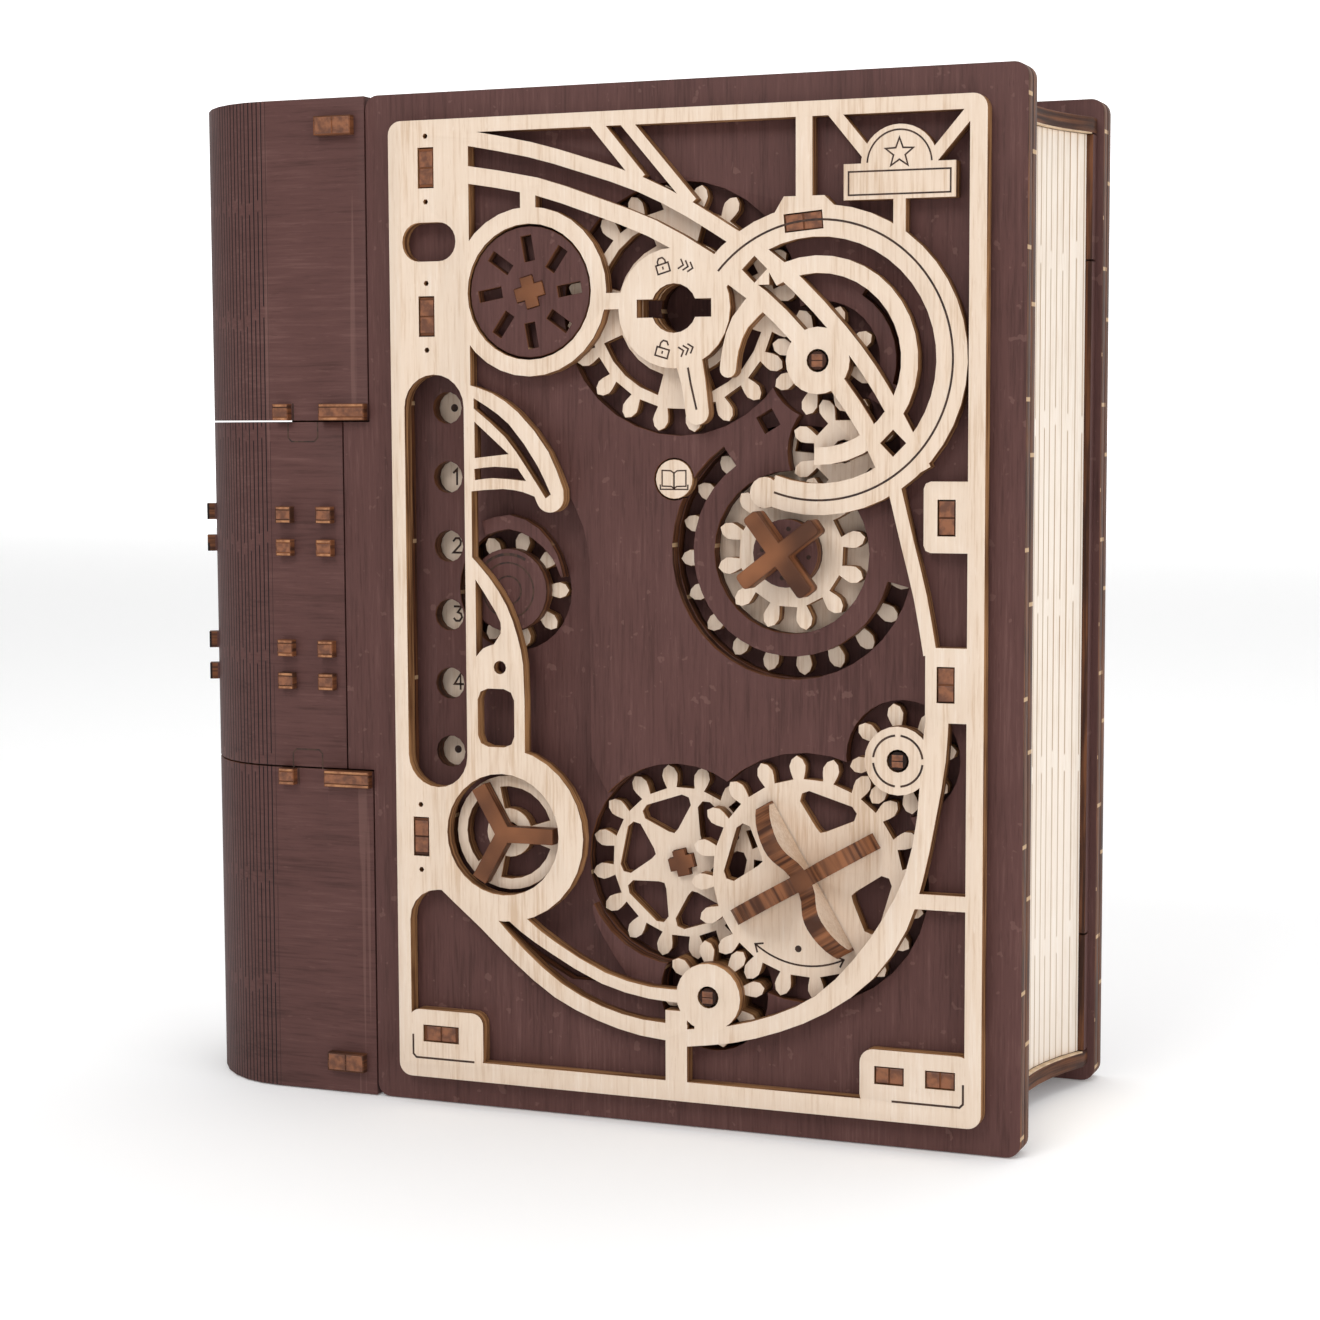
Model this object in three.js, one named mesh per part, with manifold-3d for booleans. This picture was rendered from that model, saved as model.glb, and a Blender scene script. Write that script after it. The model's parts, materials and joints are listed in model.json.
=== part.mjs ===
// Book-shaped mechanical puzzle box of 3 mm plywood: a geared front cover, a bowed living-hinge spine,
// a hollow page block and a back cover. Millimetres, +Z up, the front cover faces -Y and the spine is at -X.
// Flat work is drawn as x to the right, z up, measured from the lower left corner of the filigree frame,
// and d as the depth behind the frame's front face.
import * as THREE from "three";
import { mergeVertices } from "three/addons/utils/BufferGeometryUtils.js";
import Module from "manifold-3d";

// Sheets and fits
const PITCH = 3.0; // one plywood layer with its glue gap
const GAP = 0.3; // gap between neighbouring pieces
const SHEET = PITCH - GAP; // sheet thickness
const RUN = 0.45; // clearance of a cut-out round a moving gear
// Overall
const FRAME_W = 108.6;
const FRAME_H = 171;
const MARGIN_X = 6; // cover beyond the frame at the spine and the fore-edge
const MARGIN_Z = 5.1;
const BOOK_D = 65.2; // frame face to back cover
const SPINE_FLAT = 20.6; // flat strip beside the cover
const SPINE_BULGE = 23.3; // how far the spine bows past the flat strip
const CORNER_R = 2.4;
// Gears
const MODULE = 1.95;
const ADDENDUM = 1.72;
const DEDENDUM = 2.35;
const TOOTH_W = 2.9; // tooth width at the pitch circle
const PIN_R = 1.6;
const PIN_FIT = 0.35; // clearance of a gear on its pin
const BORE = PIN_R + PIN_FIT;
// Frame openings
const WINDOW_W = 11.65;
const WINDOW_Z = [53.1, 126.6];
const SLOT = 3.1;
const SLOT_L = 7.1;

const BRACKET_R = 17.7; // outside of the fixed ring round the middle gear
const TENON_D = 0.25; // how far the tenons stop behind the frame's face
const EAR = 5.3; // middle section of the cover that reaches over the spine
const EAR_Z = [54.9, 118.6];

const COVER_X = [-MARGIN_X, FRAME_W + MARGIN_X];
const COVER_Z = [-MARGIN_Z, FRAME_H + MARGIN_Z];
const MID_Z = FRAME_H / 2;

const wasm = await Module();
wasm.setup();
const book = new THREE.Group();
const birch = new THREE.MeshStandardMaterial({ color: 0xe9d3ae, roughness: 0.75, metalness: 0 });
const dark = new THREE.MeshStandardMaterial({ color: 0x49302c, roughness: 0.7, metalness: 0 });
const brown = new THREE.MeshStandardMaterial({ color: 0x7a4526, roughness: 0.65, metalness: 0 });

// ---- solids ----
function solid(geometry) {
  const g = geometry.clone();
  for (const name of ["normal", "uv"]) g.deleteAttribute(name);
  const m = mergeVertices(g, 1e-4);
  return new wasm.Manifold(new wasm.Mesh({
    numProp: 3,
    vertProperties: new Float32Array(m.attributes.position.array),
    triVerts: new Uint32Array(m.index.array),
  }));
}
const joinAll = (list) => list.reduce((a, b) => a.add(b));
function add(name, body, material) {
  const mesh = body.getMesh();
  const g = new THREE.BufferGeometry();
  g.setAttribute("position", new THREE.BufferAttribute(new Float32Array(mesh.vertProperties), 3));
  g.setIndex(new THREE.BufferAttribute(new Uint32Array(mesh.triVerts), 1));
  const flat = g.toNonIndexed();
  flat.computeVertexNormals();
  const node = new THREE.Mesh(flat, material);
  node.name = name;
  book.add(node);
}

// ---- outlines: lists of [x, z] ----
function extrude(outline, thickness) {
  const shape = new THREE.Shape(outline.map(([x, z]) => new THREE.Vector2(x, z)));
  return new THREE.ExtrudeGeometry(shape, { depth: thickness, bevelEnabled: false });
}
// A flat piece that lies in the cover's plane, from depth d0 to depth d1
function flat(outline, d0, d1) {
  return solid(extrude(outline, d1 - d0).rotateX(Math.PI / 2).translate(0, d1, 0));
}
// A level piece, drawn as [x, d], from height z0 to height z1
function level(outline, z0, z1) {
  return solid(extrude(outline, z1 - z0).translate(0, 0, z0));
}
const layer = (outline, k, n = 1) => flat(outline, k * PITCH, (k + n) * PITCH - GAP);
// A tool that cuts a layer right through
const through = (outline, k, n = 1) => flat(outline, k * PITCH - 0.15, (k + n) * PITCH - GAP + 0.15);
function arc(cx, cz, r, from, to, step = 12) {
  const n = Math.max(2, Math.ceil(Math.abs(to - from) / step));
  return Array.from({ length: n + 1 }, (_, i) => {
    const a = ((from + ((to - from) * i) / n) * Math.PI) / 180;
    return [cx + r * Math.cos(a), cz + r * Math.sin(a)];
  });
}
const disc = (cx, cz, r, n = 32) => arc(cx, cz, r, 0, 360, 360 / n).slice(0, -1);
function sector(cx, cz, r0, r1, from, to, step = 10) {
  return [...arc(cx, cz, r1, from, to, step), ...arc(cx, cz, r0, to, from, step)];
}
function rect(x0, z0, x1, z1, r = 0) {
  if (!r) return [[x0, z0], [x1, z0], [x1, z1], [x0, z1]];
  const s = r > 2 ? 15 : 45;
  return [...arc(x1 - r, z0 + r, r, -90, 0, s), ...arc(x1 - r, z1 - r, r, 0, 90, s),
    ...arc(x0 + r, z1 - r, r, 90, 180, s), ...arc(x0 + r, z0 + r, r, 180, 270, s)];
}
function turned(outline, cx, cz, degrees) {
  const a = (degrees * Math.PI) / 180, c = Math.cos(a), s = Math.sin(a);
  return outline.map(([x, z]) => [cx + x * c - z * s, cz + x * s + z * c]);
}
// A band of the given width along a smooth line through the points, each [x, z] or [x, z, width]
function band(points, width, perSpan = 2) {
  const curve = new THREE.CatmullRomCurve3(
    points.map(([x, z, w = width]) => new THREE.Vector3(x, z, w)), false, "centripetal");
  const n = points.length > 2 ? (points.length - 1) * perSpan : 1;
  const left = [], right = [];
  for (let i = 0; i <= n; i++) {
    const p = curve.getPoint(i / n), t = curve.getTangent(i / n);
    const k = p.z / 2 / Math.hypot(t.x, t.y);
    left.push([p.x - t.y * k, p.y + t.x * k]);
    right.unshift([p.x + t.y * k, p.y - t.x * k]);
  }
  const out = [...right, ...left];
  return THREE.ShapeUtils.area(out.map(([x, y]) => new THREE.Vector2(x, y))) < 0 ? out.reverse() : out;
}
// A smooth closed-up outline: corners stay sharp where two runs meet
function runs(...lists) {
  return lists.flatMap((points) => {
    if (points.length < 3) return points;
    const c = new THREE.CatmullRomCurve3(points.map(([x, z]) => new THREE.Vector3(x, z, 0)), false, "centripetal");
    const n = (points.length - 1) * 2;
    return Array.from({ length: n + 1 }, (_, i) => c.getPoint(i / n)).map((p) => [p.x, p.y]);
  });
}

// ---- gears ----
const pitchR = (teeth) => (teeth * MODULE) / 2;
const tipR = (teeth) => pitchR(teeth) + ADDENDUM;
// Leaf-shaped teeth: straight flanks below the pitch circle, pointed arches above it
function gearOutline(cx, cz, teeth, phase) {
  const rp = pitchR(teeth), rr = rp - DEDENDUM, out = [];
  for (let i = 0; i < teeth; i++) {
    const a = ((phase + (360 * i) / teeth) * Math.PI) / 180, h = TOOTH_W / 2 / rp;
    for (const [r, w] of [[rr, -0.74], [rp - DEDENDUM * 0.4, -0.97], [rp, -1], [rp + ADDENDUM * 0.62, -0.64],
      [rp + ADDENDUM, 0], [rp + ADDENDUM * 0.62, 0.64], [rp, 1], [rp - DEDENDUM * 0.4, 0.97], [rr, 0.74]])
      out.push([cx + r * Math.cos(a + w * h), cz + r * Math.sin(a + w * h)]);
  }
  return out;
}
// The phase that puts the follower in mesh with a gear it touches
function meshPhase(a, b) {
  const line = (Math.atan2(b.z - a.z, b.x - a.x) * 180) / Math.PI;
  const off = (a.phase - line) / (360 / a.teeth);
  return line + 180 + (0.5 - off) * (360 / b.teeth);
}
const along = (from, degrees, distance) => ({
  x: from.x + distance * Math.cos((degrees * Math.PI) / 180),
  z: from.z + distance * Math.sin((degrees * Math.PI) / 180),
});
const spacing = (a, b) => pitchR(a) + pitchR(b);

// Key train: lock gear, hub pinion, idler and the middle knob's gear
const hub = { x: 79.75, z: 128.25, teeth: 8 };
const key = { ...along(hub, 160.4, spacing(20, 8)), teeth: 20 };
const idler = { ...along(hub, -76.5, spacing(8, 8)), teeth: 8 };
const mid = { ...along(idler, -118.6, spacing(8, 12)), teeth: 12, phase: 12 };
idler.phase = meshPhase(mid, idler);
hub.phase = meshPhase(idler, hub);
key.phase = meshPhase(hub, key);
const midBack = { ...mid, teeth: 20, phase: 4 };
// Handle train: two pinions on opposite sides of the handle's gear, and the gear behind
const main = { x: 76.93, z: 40.18, teeth: 20, phase: 5 };
const pinA = { ...along(main, 51.5, spacing(20, 8)), teeth: 8 };
const pinB = { ...along(main, 231.5, spacing(20, 8)), teeth: 8 };
pinA.phase = meshPhase(main, pinA);
pinB.phase = meshPhase(main, pinB);
const rear = { ...along(pinB, 107, spacing(8, 16)), teeth: 16 };
rear.phase = meshPhase(pinB, rear);
// Dials turned on their own
const dial = { x: 27, z: 140.7, r: 11.3 };
const wheel = { x: 21, z: 45.15, r: 10.3 };
const small = { x: 21.2, z: 88.5, r: 7.4, teeth: 12, phase: 0 };
const ICON = { x: 52.8, z: 108.3, r: 3.4 };
const KNOB_R = 5.8;
const DIAL_CROSS = 2.7; // half length of the crossed pins' arms, and half their width
const REAR_CROSS = 2.3;
const CROSS_W = 1.15;
const CROSS_TURN = 15;
const CROSS_FIT = 0.1; // gap round a crossed pin in its seat
const KEYHOLE = { r: 4.2, wing: 6.8, half: 1.55 }; // round middle and the slot across it
const INDEX_X = 8.1;
const INDEX_Z0 = 58.9;
const INDEX_STEP = 12.37;
const INDEX_R = 2.86;
const INDEX_COUNT = 6;

// ---- filigree frame ----
const RING = { x: hub.x, z: hub.z, outer: 25.8, inner: 20.5, arcOuter: 17.4, arcInner: 14.5 };
const tabs = [ // slots that the cover's tenons pass through: centre, size, turn
  [7.33, 162.7, SLOT, SLOT_L, 0], [7.2, 136.8, SLOT, SLOT_L, 0], [4.95, 44, SLOT, SLOT_L, 0],
  [8.4, 8.05, SLOT_L, SLOT, 0], [92.6, 7.8, 5.2, SLOT, 0], [101.5, 7.8, 5.2, SLOT, 0],
  [102.1, 102.2, SLOT, 6.05, 0], [102.1, 74.55, SLOT, 6.05, 0], [77.25, 151.3, 6.8, SLOT, 5],
];
const dots = [[7.3, 168.2], [7.25, 156.8], [7.2, 142.6], [7.2, 130.9], [4.9, 49.8], [4.9, 38]];
function tabOutline([x, z, w, h, turn], less = 0) {
  return turned(rect(-w / 2 + less, -h / 2 + less, w / 2 - less, h / 2 - less), x, z, turn);
}
const keyhole = (x, z) => [disc(x, z, KEYHOLE.r, 20),
  rect(x - KEYHOLE.wing, z - KEYHOLE.half, x + KEYHOLE.wing, z + KEYHOLE.half)];
function frameArms() {
  return [
    // two long arms that sweep from the top left, past the lock plate, across the big ring
    band([[14, 167.8], [27.3, 165.1], [37.4, 162.1], [48, 158.4], [57, 153.9], [64.5, 149.3], [70, 146],
      [76.2, 140.9], [83.7, 133], [88.7, 126.6], [92.8, 120], [98.2, 110]], 2.6),
    band([[13, 161.6], [28.4, 158.8], [38.8, 155.3], [50, 151], [60, 145.4], [69.8, 138.7], [76.4, 132.3],
      [83.4, 124], [88, 117.4], [92, 109.5]], 3),
    band([[39.4, 169.5], [48, 159.3]], 2.2),
    band([[44.9, 169.5], [57.4, 155]], 2),
    // the lock plate's leg and hook
    band([[2.3, -7.4, 5.2], [3.5, -12.4, 4.4], [4.2, -17.7, 4.2]].map(([x, z, w]) => [key.x + x, key.z + z, w]), 4.4),
    disc(key.x + 4.2, key.z - 17.7, 2.1, 20),
    band([[63.8, 127, 2.9], [64.3, 130.4, 2.9], [66, 134.8, 3.3], [70.6, 139.5, 4]], 3),
    disc(63.8, 127, 1.45, 16),
    // posts and links
    rect(25.5, 153, 28.4, 158.5), rect(40.6, 137.4, key.x - 9, 140.2),
    // webs that tie the two pinion bosses to the arcs beside them
    band([[pinA.x, pinA.z], [100.1, 61.8]], 5), band([[pinB.x, pinB.z], [59.9, 12.3]], 5), rect(75.9, 154, 78.8, 169.5),
    [[71, 151], [73.8, 155.5], [80.9, 155.5], [84, 152.5]],
    rect(66, 141, 71.2, 146.4), rect(90.7, 111.8, 95.1, 117.1),
    // right-hand arm from the ring to the pinion's boss, and on down the big lower arc
    band([[92.8, 108.5], [95.4, 98], [97.7, 89], [99.4, 79.5]], 2.3),
    band([[100.8, 70.5, 3.8], [100.1, 62, 4.2], [98.9, 52, 3.2], [96.8, 42, 3.2], [93.6, 34, 4.4],
      [88, 25.8, 4.6], [80.5, 19.2, 3.4], [72.5, 15.2, 3], [64, 12.6, 3], [55, 11.2, 3]], 3),
    rect(95.4, 36.7, 107, 39.3), rect(98.2, 96.4, 107, 108.2, 1.2), rect(98.6, 68.2, 107, 80.7, 1.2),
    // lower left arcs
    band([[8, 38.5, 5], [13, 34, 4.6], [17.8, 29.4, 3.6], [24, 23.6, 3.1], [31.6, 17.9, 2.9],
      [39.5, 14.4, 2.7], [47.5, 12.5, 2.9], [56, 12, 3.2]], 3),
    band([[19.5, 34, 3.4], [25.2, 29, 2.6], [30.5, 25.6, 2.2], [40.3, 20.75, 2.1], [49, 18.8, 2.1], [57, 18.6, 2.4]], 2.2),
    rect(52, 2, 56, 16), rect(2, 2, 16.8, 12.4, 2.2), rect(87.4, 2, 107, 12.2, 2.4),
    // plaque in the top right corner with its braces
    rect(84.25, 154.5, 103.4, 160.4), arc(93.8, 160, 6.6, 0, 180, 10), rect(92.8, 148, 94.9, 155),
    band([[81.6, 170], [88.6, 161.6]], 2), band([[106.5, 169], [99.5, 161]], 2),
  ];
}
function sickles() {
  const upper = runs([[14, 125.1], [19.7, 123.25], [24.7, 119.9], [30.5, 113], [33.3, 106.4]],
    arc(30.7, 105.1, 2.65, 10, -160, 24), [[27.8, 105.2], [25.5, 106], [21.75, 106.5], [14, 105.9]]).reverse();
  const lower = runs([[14, 96], [18.8, 91], [22.2, 86], [24.25, 80.6], [25.3, 75.6], [25.5, 62]],
    [[25.5, 56], [14, 56]]).reverse();
  const holes = [
    runs([[16.2, 122.4], [18.8, 120.9], [23, 117.8], [28.4, 110.6], [30.9, 105.6]],
      [[29.9, 104.9], [26.3, 110.2], [22.2, 115.6], [16.2, 120.6]]).reverse(),
    [[16.3, 118.3], [22.9, 112.6], [16.3, 111.9]],
    runs([[16.2, 110], [20.1, 110.4], [24.6, 110.1]], [[26.2, 107.9], [19.7, 108.4], [16.3, 108]]).reverse(),
    runs([[16.2, 90.5], [18.8, 86.8], [21, 83], [21, 81]], [[19.7, 79.1], [17.6, 78.3], [16.2, 76.8]]).reverse(),
    disc(20.8, 75, 1.2, 12), rect(16.4, 60.8, 23.5, 71.2, 2),
  ];
  const cut = joinAll(holes.map((h) => through(h, 0)));
  return layer(upper, 0).add(layer(lower, 0)).subtract(cut);
}
function frame() {
  const sheet = layer(rect(0, 0, FRAME_W, FRAME_H, CORNER_R), 0);
  const field = through(rect(15.6, 3.5, 105.7, FRAME_H - 2.5), 0);
  const lowerField = through([[2.5, 3.5], [18, 3.5], [18, 34.5], ...arc(8.2, 28.8, 5.7, 90, 180, 22)], 0);
  const ring = (r) => sector(RING.x, RING.z, RING.inner, RING.outer, r[0], r[1], 8);
  const bosses = [disc(key.x, key.z, 10.2, 28), disc(hub.x, hub.z, 5.6, 24), disc(pinA.x, pinA.z, 5.8, 24),
    disc(pinB.x, pinB.z, 5.9, 24), disc(dial.x, dial.z, 14.6), disc(wheel.x, wheel.z, 15.6)];
  const arcs = [ring([-111, 163]), disc(70.4, 106.2, 2.65, 16),
    sector(RING.x, RING.z, RING.arcInner, RING.arcOuter, -92, 120, 10)];
  const body = joinAll([sheet.subtract(field).subtract(lowerField),
    ...[...frameArms(), ...bosses, ...arcs].map((o) => layer(o, 0)), sickles()]);
  const cuts = [disc(dial.x, dial.z, dial.r + RUN), disc(wheel.x, wheel.z, wheel.r + 0.6),
    ...keyhole(key.x, key.z),
    disc(hub.x, hub.z, BORE, 16), disc(pinA.x, pinA.z, BORE, 16), disc(pinB.x, pinB.z, BORE, 16),
    turned(rect(-1.6, -1.6, 1.6, 1.6), 68.6, 143.6, 45), turned(rect(-1.6, -1.6, 1.6, 1.6), 92.9, 114.5, 45),
    rect(2.6, 146.4, 13, 153.2, 3.3), rect(2.6, WINDOW_Z[0], 2.6 + WINDOW_W, WINDOW_Z[1], WINDOW_W / 2 - 0.01),
    ...tabs.map((t) => tabOutline(t)), ...dots.map(([x, z]) => disc(x, z, 0.5, 6))];
  return body.subtract(joinAll(cuts.map((o) => through(o, 0))));
}
add("frame", frame(), birch);

// ---- front cover: plates with the gears' cut-outs, stacked behind the frame ----
const bores = [hub, mid, pinA, pinB, main, dial, wheel];
const hole = (g, extra = RUN) => disc(g.x, g.z, tipR(g.teeth) + extra);
function coverPlate() {
  const sheet = joinAll([layer(rect(COVER_X[0], COVER_Z[0], COVER_X[1], COVER_Z[1], CORNER_R), 1),
    layer(rect(COVER_X[0] - EAR, EAR_Z[0] + GAP, COVER_X[0] + 2, EAR_Z[1] - GAP), 1)]);
  // the sunken field behind the index window and the two dials on the left
  const recess = [...runs([[1.8, 52.4], [9.8, 52.4]], [[9.8, 38], [20, 27], [33, 19.5]], [[43.5, 19.5]],
    [[43.5, 21], [38.9, 27.7], [37, 32.7], [40.4, 39.4], [41.4, 45.7], [40.9, 51.2], [38.8, 55.4], [36.9, 59.6]],
    [[36.9, 93.8], [35.7, 99.9], [31.7, 107.9], [25.6, 117], [15.5, 125.4]]), [15.5, 127.2], [1.8, 127.2]];
  const cuts = [recess, hole(key), hole(hub), hole(idler), hole(mid), hole(main), hole(pinA), hole(pinB),
    hole(rear), disc(dial.x, dial.z, PIN_R + RUN, 8), disc(ICON.x, ICON.z, ICON.r + GAP, 20),
    sector(mid.x, mid.z, BRACKET_R, tipR(midBack.teeth) + RUN, 124, 345, 9),
    sector(hub.x, hub.z, 12.8, 14.4, -18, 58, 12), turned(rect(-1.6, -1.6, 1.6, 1.6), 70, 118.2, 30)];
  const tenons = tabs.map((t) => flat(tabOutline(t, 0.2), TENON_D, PITCH + 0.5));
  return joinAll([sheet.subtract(joinAll(cuts.map((o) => through(o, 1)))), ...tenons]);
}
add("cover_plate", coverPlate(), dark);

function midPlate() {
  const sheet = layer(rect(COVER_X[0], COVER_Z[0], COVER_X[1], COVER_Z[1], CORNER_R), 2);
  const cuts = [hole(midBack), hole(rear), hole(pinB), hole({ ...small, teeth: 9 }, RUN),
    disc(key.x, key.z, KEYHOLE.r + RUN, 20), ...bores.map((b) => disc(b.x, b.z, PIN_R + RUN, 8)),
    ...indexHoles().map(([x, z]) => disc(x, z, INDEX_R, 14))];
  return sheet.subtract(joinAll(cuts.map((o) => through(o, 2))));
}
const indexHoles = () => Array.from({ length: INDEX_COUNT }, (_, i) => [INDEX_X, INDEX_Z0 + i * INDEX_STEP]);
add("mid_plate", midPlate(), dark);

const INNER_X = [14.5, FRAME_W - 8];
const INNER_Z = [6, FRAME_H - 6];
const STRIP_X = [4.2, 12.2];
const STRIP_Z = [50.5, 129.2];
const STRIP_TRAVEL = 6;
const pinned = [...bores, small, rear];
const innerPlate = layer(rect(INNER_X[0], INNER_Z[0], INNER_X[1], INNER_Z[1]), 3)
  .subtract(joinAll(pinned.map((b) => through(disc(b.x, b.z, PIN_R + RUN, 8), 3))));
add("inner_plate", innerPlate, dark);
add("door_back", layer(rect(3.5, INNER_Z[0], INNER_X[1], INNER_Z[1]), 4), dark);
add("index_strip", layer(rect(STRIP_X[0], STRIP_Z[0], STRIP_X[1], STRIP_Z[1]), 3), birch);
// a fixed crescent that shades the small dial
add("crescent", layer(band([[16.4, 99.4, 2.6], [21.4, 100.6, 2.6], [26.6, 98.6, 2.2], [30.2, 94.6, 1.2], [31.6, 91, 0.5]], 2), 1), dark);
add("icon_disc", layer(disc(ICON.x, ICON.z, ICON.r, 24), 1), birch);

// ---- gears and what turns with them ----
const PIN_END = 4 * PITCH - 0.4;
function wedge(r0, r1, centre, half) { // rounded triangular opening that points at the axle
  const c = [[r0, 0, 1.1], [r1, half, 1.5], [r1, -half, 1.5]].map(([r, a, k]) => {
    const t = ((centre + a) * Math.PI) / 180;
    return [r * Math.cos(t), r * Math.sin(t), k];
  });
  return [...arc(c[0][0], c[0][1], c[0][2], centre + 120, centre + 240, 60),
    ...arc(c[2][0], c[2][1], c[2][2], centre - 120, centre - 10, 55),
    ...arc(c[1][0], c[1][1], c[1][2], centre + 10, centre + 120, 55)];
}
function gear(g, k, cuts = [], n = 1) {
  const body = layer(gearOutline(g.x, g.z, g.teeth, g.phase), k, n);
  const tools = [disc(0, 0, BORE, 12), ...cuts].map((o) => through(turned(o, g.x, g.z, 0), k, n));
  return body.subtract(joinAll(tools));
}
const fan = (n, first, make) => Array.from({ length: n }, (_, i) => make(first + (i * 360) / n));
const pin = (g, d0, d1 = PIN_END, r = PIN_R) => flat(disc(g.x, g.z, r, 10), d0, d1);

add("key_gear", gear(key, 1, [...keyhole(0, 0),
  ...fan(4, 22, (a) => sector(0, 0, 0.595 * pitchR(20), 0.78 * pitchR(20), a, a + 52, 13))]), birch);
add("hub_pinion", gear(hub, 1), birch);
add("hub_pin", pin(hub, -0.3), brown);
add("idler_pinion", gear(idler, 1), birch);
add("idler_pin", pin(idler, PITCH, 2 * PITCH - GAP), brown);
add("mid_gear", gear(mid, 1), birch);
add("mid_back_gear", gear(midBack, 2), birch);
add("mid_disc", layer(disc(mid.x, mid.z, KNOB_R, 28), 0).add(pin(mid, 1)), dark);
const knobBars = [37, 127].map((a) => flat(turned(rect(-8.3, -1.45, 8.3, 1.45, 0.6), mid.x, mid.z, a), -4.4, -GAP));
add("mid_knob", joinAll(knobBars), brown);

const mainWindows = [73, 163, 343].map((a) => wedge(0.487 * pitchR(20), 0.7 * pitchR(20), a, 16));
add("main_gear", gear(main, 1, mainWindows), birch);
const BLADE_T = 2.9;
// a handle blade's front edge on one arm: distance from the axle, height above the frame
const BLADE_EDGE = [[14.5, -1.2], [13.6, 0.3], [12.3, 2], [10.8, 3.3], [9.2, 4.2], [7.6, 4.6], [6.4, 4.4],
  [5.2, 3.6], [4.1, 2.3], [3, 0.9], [1.6, 0]];
function blade(angle) { // stands on the gear and swells at the middle of each arm
  const other = BLADE_EDGE.map(([u, h]) => [-u, h]).reverse();
  const outline = [[-BLADE_EDGE[0][0], -SHEET], [BLADE_EDGE[0][0], -SHEET], ...BLADE_EDGE, ...other];
  return flat(outline, -BLADE_T / 2, BLADE_T / 2).rotate([90, 0, 0]).rotate([0, -angle, 0])
    .translate([main.x, 0, main.z]);
}
add("main_handle", joinAll([blade(30.2), blade(120.5), pin(main, 0.5)]), brown);
add("pinion_a", gear(pinA, 1), birch);
add("pinion_a_pin", pin(pinA, -0.3), brown);
add("pinion_b", gear(pinB, 1, [], 2), birch);
add("pinion_b_pin", pin(pinB, -0.3), brown);
const cross = (l, w, fit = 0) => [rect(-l - fit, -w - fit, l + fit, w + fit), rect(-w - fit, -l - fit, w + fit, l + fit)]
  .map((o) => turned(o, 0, 0, CROSS_TURN));
const crossPin = (g, d0, l, w) => joinAll(cross(l, w).map((o) => flat(turned(o, g.x, g.z, 0), d0, d0 + 2.6)))
  .add(pin(g, d0 + 1));
add("rear_gear", gear(rear, 2, cross(REAR_CROSS, CROSS_W, CROSS_FIT).concat(fan(6, 48, (a) => wedge(0.41 * pitchR(16), 0.67 * pitchR(16), a, 18)))), birch);
add("rear_pin", crossPin(rear, 4.9, REAR_CROSS, CROSS_W), brown);

// ---- dials ----
const DIAL_D = 0.4; // how far the dial sits inside its ring
const skewSlots = fan(8, 10, (a) => turned(rect(5.2, -2, 9.7, 0), 0, 0, a));
add("dial_disc", flat(disc(dial.x, dial.z, dial.r), DIAL_D, SHEET).subtract(joinAll(
  [...cross(DIAL_CROSS, CROSS_W, CROSS_FIT), ...skewSlots].map((o) => through(turned(o, dial.x, dial.z, 0), 0)))), dark);
add("dial_pin", crossPin(dial, 0.1, DIAL_CROSS, CROSS_W), brown);
const wheelCuts = fan(3, 18, (a) => sector(0, 0, 4.4, 8.3, a, a + 84, 14));
add("wheel", layer(disc(wheel.x, wheel.z, wheel.r), 1).subtract(joinAll(
  [disc(0, 0, BORE, 16), ...wheelCuts].map((o) => through(turned(o, wheel.x, wheel.z, 0), 1)))), birch);
add("wheel_bars", joinAll([...fan(3, 0, (a) => turned(rect(0, -1.4, 9.6, 1.4), wheel.x, wheel.z, a))
  .map((o) => flat(o, 0.2, SHEET)), pin(wheel, 1)]), brown);
add("small_dial", layer(disc(small.x, small.z, small.r, 28), 1).add(pin(small, 4)), dark);
add("small_dial_gear", gear({ ...small, teeth: 9 }, 2), birch);

// ---- page block and back cover ----
const BOX_D = [3 * PITCH + GAP, BOOK_D - 2 * PITCH + GAP]; // between the two covers
const CAP_Z = [-1.8, FRAME_H + 1.5];
const PAGE_FRONT = 113.3; // fore-edge at the covers
const PAGE_DIP = 5.2; // how far the fore-edge is hollowed
const CAP_LIP = 1.1;
const EDGE_STRIP = 2.9;
const D_PAGE = [BOX_D[0], BOX_D[1] - EDGE_STRIP - GAP];
function foreEdge(inset, from = D_PAGE[0], to = D_PAGE[1], n = 9) { // hollowed line, front to back
  return Array.from({ length: n + 1 }, (_, i) => {
    const d = from + ((to - from) * i) / n, u = (2 * (d - D_PAGE[0])) / (D_PAGE[1] - D_PAGE[0]) - 1;
    return [PAGE_FRONT - inset - PAGE_DIP * (1 - u * u), d];
  });
}
const BOX_X = COVER_X[0] + GAP;
const capOutline = [[BOX_X, BOX_D[0]], ...foreEdge(0), [PAGE_FRONT, BOX_D[1]], [BOX_X, BOX_D[1]]];
add("cap_top", level(capOutline, CAP_Z[1] - SHEET, CAP_Z[1]), dark);
add("cap_bottom", level(capOutline, CAP_Z[0], CAP_Z[0] + SHEET), dark);
const inside = [CAP_Z[0] + SHEET + GAP, CAP_Z[1] - SHEET - GAP];
add("page_edge", level([...foreEdge(CAP_LIP), ...foreEdge(CAP_LIP + SHEET).reverse()], ...inside), birch);
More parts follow.
